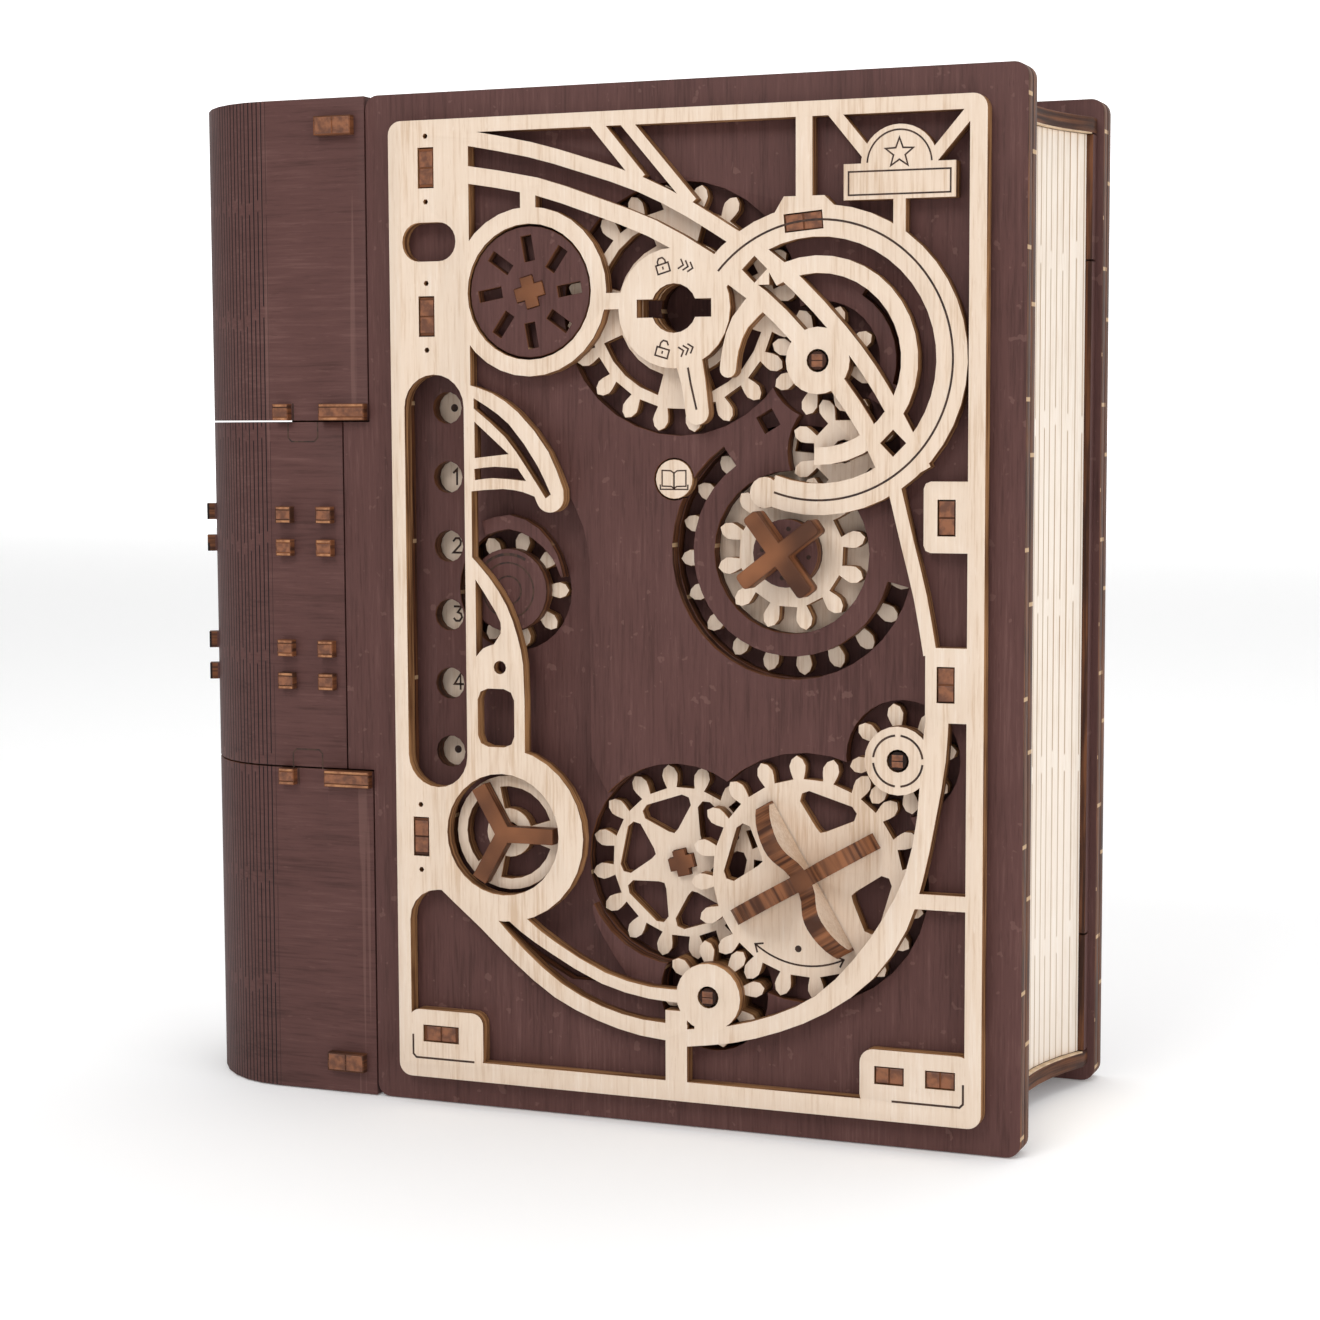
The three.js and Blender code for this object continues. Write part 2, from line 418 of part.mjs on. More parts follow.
const breaks = [inside[0], 23, 146.8, inside[1]];
["low", "mid", "high"].forEach((name, i) => add(`edge_strip_${name}`, level([[PAGE_FRONT - 8, D_PAGE[1] + GAP],
  [PAGE_FRONT, D_PAGE[1] + GAP], [PAGE_FRONT, BOX_D[1]], [PAGE_FRONT - 8, BOX_D[1]]],
  breaks[i] + (i ? GAP : 0), breaks[i + 1]), dark));
add("spine_wall", level(rect(BOX_X, BOX_D[0], BOX_X + SHEET, BOX_D[1]), ...inside), dark);
const coverOutline = rect(COVER_X[0], COVER_Z[0], COVER_X[1], COVER_Z[1], CORNER_R);
add("back_inner", flat(coverOutline, BOOK_D - PITCH - SHEET, BOOK_D - PITCH), dark);
add("back_cover", flat(coverOutline, BOOK_D - SHEET, BOOK_D), dark);

// ---- spine: a flat strip, a half ellipse and a flat strip, in three sections ----
const SPINE_A = SPINE_BULGE;
const SPINE_B = (BOOK_D - PITCH) / 2;
const SPINE_C = [COVER_X[0] - GAP - SPINE_FLAT, (BOOK_D + PITCH) / 2];
const TAB_OUT = 1.7; // how far the rib ends stand out of the spine
const spinePoint = (t, inset = 0) => [SPINE_C[0] + (SPINE_A - inset) * Math.cos((t * Math.PI) / 180),
  SPINE_C[1] + (SPINE_B - inset) * Math.sin((t * Math.PI) / 180)];
function spineStrip(frontX, inset, n = 18) {
  const bow = Array.from({ length: n + 1 }, (_, i) => spinePoint(270 - (180 * i) / n, inset));
  return [[frontX, PITCH + inset], ...bow, [COVER_X[0] - GAP, BOOK_D - inset]];
}
function spineShell(frontX, z0, z1) {
  return level([...spineStrip(frontX, 0), ...spineStrip(frontX, SHEET).reverse()], z0, z1);
}
const front = COVER_X[0] - GAP;
const box = (x0, x1, d0, d1, z0, z1) => level([[x0, d0], [x1, d0], [x1, d1], [x0, d1]], z0, z1);
function ribEnds(z0, z1) { // ends of one pair of ribs, on both flat strips and round the bow
  const list = [];
  for (const x of [[-24.7, -21.6], [-16.4, -13.3]])
    list.push(box(...x, PITCH - TAB_OUT, PITCH + 1, z0, z1), box(...x, BOOK_D - 1, BOOK_D - 0.05, z0, z1));
  for (const t of [216, 144]) {
    const [x, d] = spinePoint(t), turn = Math.atan2(Math.sin((t * Math.PI) / 180) / SPINE_B, Math.cos((t * Math.PI) / 180) / SPINE_A);
    list.push(level(turned(rect(-1, -1.6, TAB_OUT, 1.6), x, d, (turn * 180) / Math.PI), z0, z1));
  }
  return list;
}
const lug = (x0, x1, z0, z1) => box(x0, x1, PITCH - TAB_OUT, PITCH + 1, z0, z1);
add("spine_top", joinAll([spineShell(front, EAR_Z[1], COVER_Z[1]), lug(-24.95, -21.8, EAR_Z[1], EAR_Z[1] + 3),
  lug(-15.5, front, EAR_Z[1], EAR_Z[1] + 3), lug(-15.6, -8.2, 169.4, 172.8)]), dark);
add("spine_mid", joinAll([spineShell(front - EAR, EAR_Z[0] + GAP, EAR_Z[1] - GAP),
  ...[[100, 103], [94, 97], [75.6, 78.6], [69.6, 72.6]].flatMap((z) => ribEnds(...z))]), dark);
add("spine_bottom", joinAll([spineShell(front, COVER_Z[0], EAR_Z[0]), lug(-24.95, -21.8, EAR_Z[0] - 3, EAR_Z[0]),
  lug(-15.5, front, EAR_Z[0] - 3, EAR_Z[0]), lug(-15.6, -8.2, -0.9, 2.5)]), dark);
const capIn = SHEET + GAP;
const spineCap = [[front, PITCH + capIn], ...Array.from({ length: 13 }, (_, i) => spinePoint(270 - 15 * i, capIn)),
  [front, BOOK_D - capIn]];
add("spine_cap_top", level(spineCap, 169.5, 172.2), dark);
add("spine_cap_bottom", level(spineCap, -0.7, 2), dark);

// The origin is at the middle of the foot of the whole book
const bounds = new THREE.Box3().setFromObject(book);
const centre = bounds.getCenter(new THREE.Vector3());
book.position.set(-centre.x, -centre.y, -bounds.min.z);

export default book;
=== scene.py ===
# Book-shaped plywood puzzle box: materials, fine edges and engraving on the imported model.
import bpy, bmesh, json, math
from mathutils import Vector, Matrix


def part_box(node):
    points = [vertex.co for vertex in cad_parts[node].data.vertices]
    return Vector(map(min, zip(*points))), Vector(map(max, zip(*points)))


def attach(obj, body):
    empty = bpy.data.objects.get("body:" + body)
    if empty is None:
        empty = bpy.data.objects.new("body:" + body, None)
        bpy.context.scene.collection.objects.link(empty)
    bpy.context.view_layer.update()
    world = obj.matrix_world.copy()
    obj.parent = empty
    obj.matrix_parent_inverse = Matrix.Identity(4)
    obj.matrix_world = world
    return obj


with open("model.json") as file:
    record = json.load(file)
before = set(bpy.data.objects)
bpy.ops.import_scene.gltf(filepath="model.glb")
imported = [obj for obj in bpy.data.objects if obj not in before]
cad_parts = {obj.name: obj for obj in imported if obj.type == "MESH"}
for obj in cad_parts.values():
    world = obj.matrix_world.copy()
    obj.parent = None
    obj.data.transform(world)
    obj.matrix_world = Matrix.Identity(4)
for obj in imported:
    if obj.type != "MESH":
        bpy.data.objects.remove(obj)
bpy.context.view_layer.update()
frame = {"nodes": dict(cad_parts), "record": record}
nodes = frame["nodes"]
MM = 0.001
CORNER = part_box("frame")[0]  # lower left front corner of the filigree frame


def P(x, d, z):
    """Book millimetres (right, depth behind the frame's face, up) to the row frame in metres."""
    return Vector((CORNER.x + x * MM, CORNER.y + d * MM, CORNER.z + z * MM))


# ---------------------------------------------------------------- camera, floor, lights
YAW, PITCH, ROLL = math.radians(21.67), math.radians(5.19), math.radians(-0.235)
CAMERA_AT = (221, -427.2, 119)  # in book millimetres
SENSOR = 36
FOCAL_RATIO = 2677 / 1320  # focal length over the picture's width
fwd = Vector((-math.sin(YAW) * math.cos(PITCH), math.cos(YAW) * math.cos(PITCH), -math.sin(PITCH)))
right = Vector((math.cos(YAW), math.sin(YAW), 0))
up = right.cross(fwd)
cam_right = right * math.cos(ROLL) + up * math.sin(ROLL)
cam_up = -right * math.sin(ROLL) + up * math.cos(ROLL)
cam_data = bpy.data.cameras.new("camera")
cam_data.lens = SENSOR * FOCAL_RATIO
cam_data.sensor_width = SENSOR
cam_data.clip_start, cam_data.clip_end = 0.01, 20
cam = bpy.data.objects.new("camera", cam_data)
bpy.context.scene.collection.objects.link(cam)
stand = Matrix((cam_right, cam_up, -fwd)).transposed().to_4x4()
stand.translation = P(*CAMERA_AT)
cam.matrix_world = stand
bpy.context.scene.camera = cam


def node_material(name):
    mat = bpy.data.materials.new(name)
    mat.use_nodes = True
    nt = mat.node_tree
    return mat, nt, nt.nodes["Principled BSDF"]


def plane(name, corners, colour, glow=0.0):
    me = bpy.data.meshes.new(name)
    me.from_pydata(corners, [], [(0, 1, 2, 3)])
    ob = bpy.data.objects.new(name, me)
    bpy.context.scene.collection.objects.link(ob)
    mat, nt, b = node_material(name)
    b.inputs["Base Color"].default_value = (*colour, 1)
    b.inputs["Roughness"].default_value = 0.9
    b.inputs["Specular IOR Level"].default_value = 0.1
    b.inputs["Emission Color"].default_value = (1, 1, 1, 1)
    b.inputs["Emission Strength"].default_value = glow
    me.materials.append(mat)


# in metres: half the floor's width, the backdrop's distance and the floor's level
HALF, BACK, FLOOR_Z = 3, 2.2, -0.0002
WORLD_LIGHT = 0.5
plane("floor",
      [(-HALF, -HALF, FLOOR_Z), (HALF, -HALF, FLOOR_Z), (HALF, BACK, FLOOR_Z), (-HALF, BACK, FLOOR_Z)],
      (0.95, 0.95, 0.95), 0.12)
plane("backdrop", [(-HALF, BACK, -0.01), (HALF, BACK, -0.01), (HALF, BACK, HALF), (-HALF, BACK, HALF)],
      (0.9, 0.9, 0.9), 0.75)
bpy.context.scene.view_settings.view_transform = "Standard"
world = bpy.data.worlds.new("studio")
world.use_nodes = True
world.node_tree.nodes["Background"].inputs[0].default_value = (1, 1, 1, 1)
world.node_tree.nodes["Background"].inputs[1].default_value = WORLD_LIGHT
bpy.context.scene.world = world


def area(name, at, to, size, watts):
    data = bpy.data.lights.new(name, "AREA")
    data.size, data.energy = size, watts
    ob = bpy.data.objects.new(name, data)
    ob.location = at
    ob.rotation_euler = (Vector(to) - Vector(at)).to_track_quat("-Z", "Y").to_euler()
    bpy.context.scene.collection.objects.link(ob)


MIDDLE = (0, 0, 0.09)  # middle of the book
area("key_light", (-0.15, -0.85, 0.8), MIDDLE, 0.45, 4.2)
area("fill_light", (0.85, -0.5, 0.35), MIDDLE, 0.7, 2.6)
area("top_light", (0.1, 0.1, 1.0), MIDDLE, 0.8, 2.6)


# ---------------------------------------------------------------- node helpers
class G:
    """Short calls for building a shader graph."""

    def __init__(self, nt):
        self.nt = nt

    def put(self, sock, v):
        if isinstance(v, bpy.types.NodeSocket):
            self.nt.links.new(v, sock)
        elif v is not None:
            sock.default_value = v

    def math(self, op, a, b=None):
        n = self.nt.nodes.new("ShaderNodeMath")
        n.operation = op
        self.put(n.inputs[0], a)
        self.put(n.inputs[1], b)
        return n.outputs[0]

    def step(self, v, lo, hi):
        """0 below lo and 1 above hi, with a soft rise between; lo above hi turns it round."""
        n = self.nt.nodes.new("ShaderNodeMapRange")
        n.interpolation_type = "SMOOTHSTEP"
        self.put(n.inputs["Value"], v)
        n.inputs["From Min"].default_value, n.inputs["From Max"].default_value = lo, hi
        return n.outputs["Result"]

    def noise(self, vec, scale, stretch=(1, 1, 1), detail=3, rough=0.55):
        mp = self.nt.nodes.new("ShaderNodeMapping")
        mp.inputs["Scale"].default_value = stretch
        self.put(mp.inputs["Vector"], vec)
        n = self.nt.nodes.new("ShaderNodeTexNoise")
        n.inputs["Scale"].default_value = scale
        n.inputs["Detail"].default_value = detail
        n.inputs["Roughness"].default_value = rough
        self.put(n.inputs["Vector"], mp.outputs[0])
        return n.outputs[0]

    def mix(self, f, a, b):
        n = self.nt.nodes.new("ShaderNodeMix")
        n.data_type = "RGBA"
        self.put(n.inputs[0], f)
        self.put(n.inputs[6], a if isinstance(a, bpy.types.NodeSocket) else (*a, 1))
        self.put(n.inputs[7], b if isinstance(b, bpy.types.NodeSocket) else (*b, 1))
        return n.outputs[2]

    def xyz(self, v):
        n = self.nt.nodes.new("ShaderNodeSeparateXYZ")
        self.put(n.inputs[0], v)
        return n.outputs


def plywood(name, face, grain, faces, edges, rough, slits=None, raised=None, ticks=False):
    """face: axis of the sheet's faces (None: all cut edges). grain: axis the fibres run along.
    faces: dark, middle and light colour of the face. edges: dark and light colour of the cut edge.
    slits: "spine" or "pages", the long thin cuts of a bent sheet. raised: "tenons" or "ribs", the ends
    that stand forward of the sheet and show their burnt end grain. ticks: pale marks on the cut edge."""
    mat, nt, b = node_material(name)
    g = G(nt)
    tc = nt.nodes.new("ShaderNodeTexCoord")
    pos, nor = tc.outputs["Object"], tc.outputs["Normal"]
    x, y, z = g.xyz(pos)
    along = [1.0, 1.0, 1.0]
    along["xyz".index(grain)] = 0.05
    wave = g.noise(pos, 90, (1, 1, 1), 2)
    fine = g.noise(pos, 2100, along, 4, 0.62)
    bands = g.noise(pos, 260, along, 3)
    pores = g.noise(pos, 3400, [0.09 if a < 1 else 1 for a in along], 2)
    cloud = g.noise(pos, 22, (1, 1, 1), 2)
    t = g.math("ADD", g.math("MULTIPLY", fine, 0.45), g.math("MULTIPLY", bands, 0.25))
    t = g.math("ADD", t, g.math("MULTIPLY", cloud, 0.18))
    t = g.math("ADD", t, g.math("MULTIPLY", wave, 0.12))
    face_c = g.mix(g.step(t, 0.36, 0.51), faces[0], faces[1])
    face_c = g.mix(g.step(t, 0.51, 0.67), face_c, faces[2])
    face_c = g.mix(g.math("MULTIPLY", g.step(pores, 0.60, 0.74), 0.45), face_c, faces[0])
    fleck = g.noise(pos, 1700, [0.2 if a < 1 else 1 for a in along], 1)
    face_c = g.mix(g.math("MULTIPLY", g.step(fleck, 0.70, 0.80), 0.5), face_c, faces[2])
    scratch = g.noise(pos, 420, [0.02 if a < 1 else 1 for a in along[1:] + along[:1]], 2)
    if faces is DARK:
        face_c = g.mix(g.math("MULTIPLY", g.step(scratch, 0.665, 0.70), 0.35), face_c, SCRATCH)
    ply = [0.035, 0.035, 0.035]
    ply["xyz".index(face or "y")] = 1.0
    layers = g.noise(pos, 1500, ply, 3, 0.5)
    soot = g.noise(pos, 120, (1, 1, 1), 2)
    edge_t = g.math("ADD", g.math("MULTIPLY", layers, 0.82), g.math("MULTIPLY", soot, 0.18))
    edge_c = g.mix(g.step(edge_t, 0.36, 0.64), edges[0], edges[1])
    n = g.xyz(nor)
    if face:
        size = g.math("ABSOLUTE", n["xyz".index(face)])
        is_edge = g.step(size, 0.86, 0.62) if name != "dark_ply_spine" else g.step(size, 0.62, 0.86)
        if ticks:
            sheet = g.math("FLOOR", g.math("DIVIDE", g.math("SUBTRACT", y, CORNER.y), SHEET_PITCH))
            run = g.math("ADD", g.math("DIVIDE", z, TICK_GAP), g.math("MULTIPLY", sheet, 0.37))
            off = g.math("ABSOLUTE", g.math("SUBTRACT", g.math("FRACT", run), 0.5))
            tick = g.math("MULTIPLY", g.step(off, 0.017, 0.011), g.step(n[0], 0.8, 0.95))
            edge_c = g.mix(g.math("MULTIPLY", tick, 0.8), edge_c, (0.62, 0.42, 0.24))
        colour = g.mix(is_edge, face_c, edge_c)
    else:
        colour = edge_c
    if name == "handle_blades":
        mid_of_gear = sum(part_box("main_gear"), Vector()) / 2
        ax, az = g.math("SUBTRACT", x, mid_of_gear.x), g.math("SUBTRACT", z, mid_of_gear.z)
        far = g.math("SQRT", g.math("ADD", g.math("MULTIPLY", ax, ax), g.math("MULTIPLY", az, az)))
        upright = g.step(g.math("ABSOLUTE", n[1]), 0.35, 0.2)
        flank = g.math("MULTIPLY", upright, g.step(far, BLADE_R, BLADE_R - 0.3 * MM))
        colour = g.mix(flank, edge_c, g.mix(g.step(t, 0.40, 0.60), BIRCH[0], BIRCH[1]))
    if raised:
        burnt_c = g.mix(g.step(edge_t, 0.36, 0.62), (0.050, 0.018, 0.009), (0.19, 0.066, 0.026))
        if raised == "tenons":
            out = g.step(y, CORNER.y + 2.5 * MM, CORNER.y + 2.3 * MM)
        else:
            front = g.step(y, CORNER.y + 2.75 * MM, CORNER.y + 2.6 * MM)
            ex = g.math("DIVIDE", g.math("SUBTRACT", BOW.x, x), BOW_R[0])
            ey = g.math("DIVIDE", g.math("SUBTRACT", y, BOW.y), BOW_R[1])
            far = g.math("ADD", g.math("MULTIPLY", ex, ex), g.math("MULTIPLY", ey, ey))
            past_bow = g.math("MULTIPLY", g.step(far, 1.02, 1.03), g.step(ex, 0.1, 0.12))
            out = g.math("MAXIMUM", front, past_bow)
        colour = g.mix(out, colour, burnt_c)
    height = g.math("ADD", g.math("MULTIPLY", fine, 0.6), g.math("MULTIPLY", pores, -0.5))
    if slits:
        if slits == "spine":
            ang = g.math("ARCTAN2", g.math("DIVIDE", g.math("SUBTRACT", y, BOW.y), BOW_R[1]),
                         g.math("DIVIDE", g.math("SUBTRACT", BOW.x, x), BOW_R[0]))
            u = g.math("MULTIPLY", ang, SPINE_SLITS / math.pi)
            inside = g.step(g.math("SUBTRACT", BOW.x, x), -0.0006, -0.0002)
            length, width = 0.041, 0.17
        else:
            u = g.math("DIVIDE", g.math("SUBTRACT", y, CORNER.y), PAGE_GAP)
            inside, length, width = 1.0, 0.062, 0.10
        cell = g.math("FLOOR", u)
        off = g.math("ABSOLUTE", g.math("SUBTRACT", g.math("FRACT", u), 0.5))
        line = g.step(off, width, width * 0.45)
        shift = g.math("FRACT", g.math("MULTIPLY", g.math("SINE", g.math("MULTIPLY", cell, 1.9)), 7.31))
        run = g.math("FRACT", g.math("ADD", g.math("DIVIDE", z, length), g.math("ADD",
                     g.math("MULTIPLY", cell, 0.5), g.math("MULTIPLY", shift, 0.06))))
        bridge = g.math("ABSOLUTE", g.math("SUBTRACT", run, 0.5))  # the short uncut length between two slits
        line = g.math("MULTIPLY", line, g.step(bridge, 0.480, 0.470))
        line = g.math("MULTIPLY", line, inside)
        if slits == "pages":
            vary = g.noise(pos, 60, (1, 1, 0.3), 1)
            line = g.math("MULTIPLY", line, g.math("ADD", 0.50, g.math("MULTIPLY", vary, 0.8)))
            line = g.math("MULTIPLY", line, g.step(n[0], 0.5, 0.7))
        dark = (0.008, 0.003, 0.003) if slits == "spine" else (0.46, 0.31, 0.19)
        colour = g.mix(line, colour, dark)
        height = g.math("SUBTRACT", height, g.math("MULTIPLY", line, 4.0))
    nt.links.new(colour, b.inputs["Base Color"])
    r = g.math("ADD", rough - 0.08, g.math("MULTIPLY", fine, 0.16))
    nt.links.new(r, b.inputs["Roughness"])
    b.inputs["Specular IOR Level"].default_value = 0.22
    bump = nt.nodes.new("ShaderNodeBump")
    bump.inputs["Strength"].default_value = 0.35
    bump.inputs["Distance"].default_value = 0.00012
    nt.links.new(height, bump.inputs["Height"])
    nt.links.new(bump.outputs[0], b.inputs["Normal"])
    return mat


BOW = P(-26.9, 34.1, 0)  # centre of the spine's half ellipse
BOW_R = (23.3 * MM, 31.1 * MM)
SPINE_SLITS = 78  # slits across the half ellipse
PAGE_GAP = 2.1 * MM  # between two lines of the page edge
SHEET_PITCH = 3 * MM
TICK_GAP = 24.7 * MM
BLADE_R = 14.2 * MM  # the handle's light flanks end here, short of its burnt ends
SCRATCH = (0.20, 0.105, 0.088)
DARK = [(0.064, 0.0265, 0.0225), (0.098, 0.042, 0.037), (0.136, 0.064, 0.056)]
DARK_EDGE = [(0.040, 0.015, 0.009), (0.165, 0.062, 0.026)]
BIRCH = [(0.60, 0.435, 0.305), (0.735, 0.59, 0.465), (0.79, 0.665, 0.555)]
BIRCH_EDGE = [(0.11, 0.043, 0.017), (0.40, 0.205, 0.088)]
PAGE = [(0.80, 0.68, 0.56), (0.90, 0.80, 0.70), (0.93, 0.86, 0.78)]
BROWN = [(0.060, 0.021, 0.010), (0.26, 0.100, 0.042)]
dark_front = plywood("dark_ply_front", "y", "z", DARK, DARK_EDGE, 0.62, ticks=True)
dark_cover = plywood("dark_ply_cover", "y", "z", DARK, DARK_EDGE, 0.62, raised="tenons", ticks=True)
dark_flat = plywood("dark_ply_level", "z", "x", DARK, DARK_EDGE, 0.62)
dark_wall = plywood("dark_ply_wall", "x", "z", DARK, DARK_EDGE, 0.62, ticks=True)
dark_spine = plywood("dark_ply_spine", "z", "x", DARK, DARK_EDGE, 0.62, "spine", "ribs")
birch_front = plywood("birch_ply", "y", "z", BIRCH, BIRCH_EDGE, 0.55)
pages = plywood("page_sheet", "x", "z", PAGE, PAGE[:2], 0.6, "pages")
burnt = plywood("burnt_edges", None, "x", DARK, BROWN, 0.5)
blades = plywood("handle_blades", None, "x", DARK, BROWN, 0.5)
# painted shade: the square pins are coloured near black, darker than their own burnt ply, for the shadow in
# the holes they sit in
painted_shade_pin = plywood("pin_recess_painted_shade", None, "y", DARK, [(0.010, 0.004, 0.003), (0.045, 0.016, 0.009)], 0.7)

slots = {s["node"]: s["material_slot"] for s in frame["record"]["subparts"]}
LEVEL = {"cap_top", "cap_bottom", "spine_cap_top", "spine_cap_bottom"}
WALL = {"spine_wall", "edge_strip_low", "edge_strip_mid", "edge_strip_high"}
SQUARE_PINS = {"hub_pin": "hub", "pinion_a_pin": "pinion_a", "pinion_b_pin": "pinion_b"}
for name, ob in nodes.items():
    slot = slots[name]
    if name.startswith("spine_") and name not in LEVEL and name not in WALL:
        mat = dark_spine
    elif name in LEVEL:
        mat = dark_flat
    elif name in WALL:
        mat = dark_wall
    elif name == "page_edge":
        mat = pages
    elif name == "cover_plate":
        mat = dark_cover
    # the square pins take the painted shade of their holes
    elif name in SQUARE_PINS:
        mat = painted_shade_pin
    elif name == "main_handle":
        mat = blades
    else:
        mat = {"birch": birch_front, "dark": dark_front, "brown": burnt}[slot]
    ob.data.materials.clear()
    ob.data.materials.append(mat)
    ob.data.shade_smooth()
    weld = ob.modifiers.new("weld", "WELD")
    weld.merge_threshold = 1e-6
    tidy = ob.modifiers.new("tidy", "DECIMATE")
    tidy.decimate_type = "DISSOLVE"
    tidy.angle_limit = math.radians(0.6)
    bevel = ob.modifiers.new("bevel", "BEVEL")
    bevel.width = (0.22 if slot == "brown" else 0.14) * MM
    bevel.segments = 2
    bevel.limit_method = "ANGLE"
    bevel.angle_limit = math.radians(38)
    bevel.harden_normals = True


# ---------------------------------------------------------------- engraving and end grain
def plain(name, dark, light, rough, scale=900):
    """Burnt or inked wood: two tones in a fine noise, with a matching bump."""
    mat, nt, b = node_material(name)
    g = G(nt)
    pos = nt.nodes.new("ShaderNodeTexCoord").outputs["Object"]
    n = g.noise(pos, scale, (1, 1, 1), 3)
    nt.links.new(g.mix(g.step(n, 0.35, 0.65), dark, light), b.inputs["Base Color"])
    nt.links.new(g.math("ADD", rough - 0.05, g.math("MULTIPLY", n, 0.1)), b.inputs["Roughness"])
    bump = nt.nodes.new("ShaderNodeBump")
    bump.inputs["Strength"].default_value, bump.inputs["Distance"].default_value = 0.3, 0.00006
    nt.links.new(n, bump.inputs["Height"])
    nt.links.new(bump.outputs[0], b.inputs["Normal"])
    return mat


scorch = plain("laser_line", (0.022, 0.009, 0.006), (0.060, 0.026, 0.014), 0.75)
end_grain = plain("end_grain", (0.115, 0.038, 0.016), (0.25, 0.090, 0.036), 0.5, 620)
end_light = plain("end_light", (0.22, 0.080, 0.030), (0.42, 0.185, 0.075), 0.5, 700)


def arc_pts(cx, cz, r, a0, a1, step=6):
    n = max(2, int(abs(a1 - a0) / step) + 1)
    return [(cx + r * math.cos(math.radians(a0 + (a1 - a0) * i / n)),
             cz + r * math.sin(math.radians(a0 + (a1 - a0) * i / n))) for i in range(n + 1)]


def mesh_piece(name, body, bm, mat):
    bmesh.ops.recalc_face_normals(bm, faces=bm.faces)
    me = bpy.data.meshes.new(name)
    bm.to_mesh(me)
    bm.free()
    ob = bpy.data.objects.new(name, me)
    bpy.context.scene.collection.objects.link(ob)
    me.materials.append(mat)
    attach(ob, body)
    return ob


SUNK = 0.04


def engrave(name, body, d, lines, width=0.36, proud=0.03):
    """Thin scorched lines on a face at depth d. A line is a list of (right, up), closed if its ends meet,
    or such a list with its own width. They stand proud of the face by a hair and are sunk a little in it."""
    bm = bmesh.new()
    for line in lines:
        w = width
        if isinstance(line, tuple):
            line, w = line
        closed = math.dist(line[0], line[-1]) < 1e-6
        pts = [Vector(p) for p in (line[:-1] if closed else line)]
        n = len(pts)
        rings = []
        for i, p in enumerate(pts):
            a = pts[i - 1] if (i or closed) else p
            c = pts[(i + 1) % n] if (i < n - 1 or closed) else p
            t0 = (p - a).normalized() if (p - a).length > 1e-9 else (c - p).normalized()
            t1 = (c - p).normalized() if (c - p).length > 1e-9 else t0
            t = (t0 + t1).normalized() if (t0 + t1).length > 1e-6 else t0
            side = Vector((-t.y, t.x)) * (w / 2) / max(0.4, t.dot(t0))
            e = t * w * 0.35 * (0 if closed or 0 < i < n - 1 else (-1 if i == 0 else 1))
            q0, q1 = p + side + e, p - side + e
            rings.append([bm.verts.new(P(q0.x, d - proud, q0.y)), bm.verts.new(P(q1.x, d - proud, q1.y)),
                          bm.verts.new(P(q1.x, d + SUNK, q1.y)), bm.verts.new(P(q0.x, d + SUNK, q0.y))])
        for i in range(n if closed else n - 1):
            r0, r1 = rings[i], rings[(i + 1) % n]
            for k in range(4):
                bm.faces.new((r0[k], r0[(k + 1) % 4], r1[(k + 1) % 4], r1[k]))
        if not closed:
            bm.faces.new(rings[0])
            bm.faces.new(rings[-1][::-1])
    return mesh_piece(name, body, bm, scorch)


def tile(bm, cx, cz, w, h, d_back, d_front, turn=0, chamfer=0.16):
    """Chamfered end of a tenon, facing the front."""
    t = math.radians(turn)
    rings = []
    for d, inset in ((d_back, 0), (d_front + chamfer * 0.6, 0), (d_front, chamfer)):
        ring = []
        for sx, sz in ((-1, -1), (1, -1), (1, 1), (-1, 1)):
            u, v = sx * (w / 2 - inset), sz * (h / 2 - inset)
            x, z = u * math.cos(t) - v * math.sin(t), u * math.sin(t) + v * math.cos(t)
            ring.append(bm.verts.new(P(cx + x, d, cz + z)))
        rings.append(ring)
    for r0, r1 in zip(rings, rings[1:]):
        for k in range(4):
            bm.faces.new((r0[k], r0[(k + 1) % 4], r1[(k + 1) % 4], r1[k]))
    bm.faces.new(rings[0][::-1])
    bm.faces.new(rings[-1])


def split_tiles(bm, cx, cz, w, h, d_back, d_front, turn=0, gap=0.3):
    """Two plies side by side with a dark line between them, split across the longer way."""
    t = math.radians(turn)
    for s in (-1, 1):
        if w >= h:
            u, v, tw, th = s * (w + gap) / 4, 0, (w - gap) / 2, h
        else:
            u, v, tw, th = 0, s * (h + gap) / 4, w, (h - gap) / 2
        tile(bm, cx + u * math.cos(t) - v * math.sin(t), cz + u * math.sin(t) + v * math.cos(t), tw, th,
             d_back, d_front, turn)


def centre(node):
    lo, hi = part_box(node)
    return (((lo.x + hi.x) / 2 - CORNER.x) / MM, ((lo.z + hi.z) / 2 - CORNER.z) / MM)


def face_depth(node):
    return (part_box(node)[0].y - CORNER.y) / MM


hub, pin_a, pin_b = centre("hub_pin"), centre("pinion_a_pin"), centre("pinion_b_pin")
key, mid, main_c = centre("key_gear"), centre("mid_disc"), centre("main_gear")
icon, small = centre("icon_disc"), centre("small_dial")

# lines cut along the light frame
ring_line = arc_pts(*hub, 23.3, -109, 139, 3)
pin_ring = [arc_pts(*pin_a, 4.3, a, a + 74, 8) for a in (8, 98, 188, 278)]
engrave("frame_lines", "door", 0, [
    ring_line, [(56.6, 127.2), (57.1, 124.5), (58.1, 120.3)],
    [(2.8, 7.6), (2.8, 4.1), (3.4, 3.5), (14.9, 3.5)],
    [(93.2, 3.5), (104.9, 3.5), (105.5, 4.1), (105.5, 7.3)], *pin_ring])


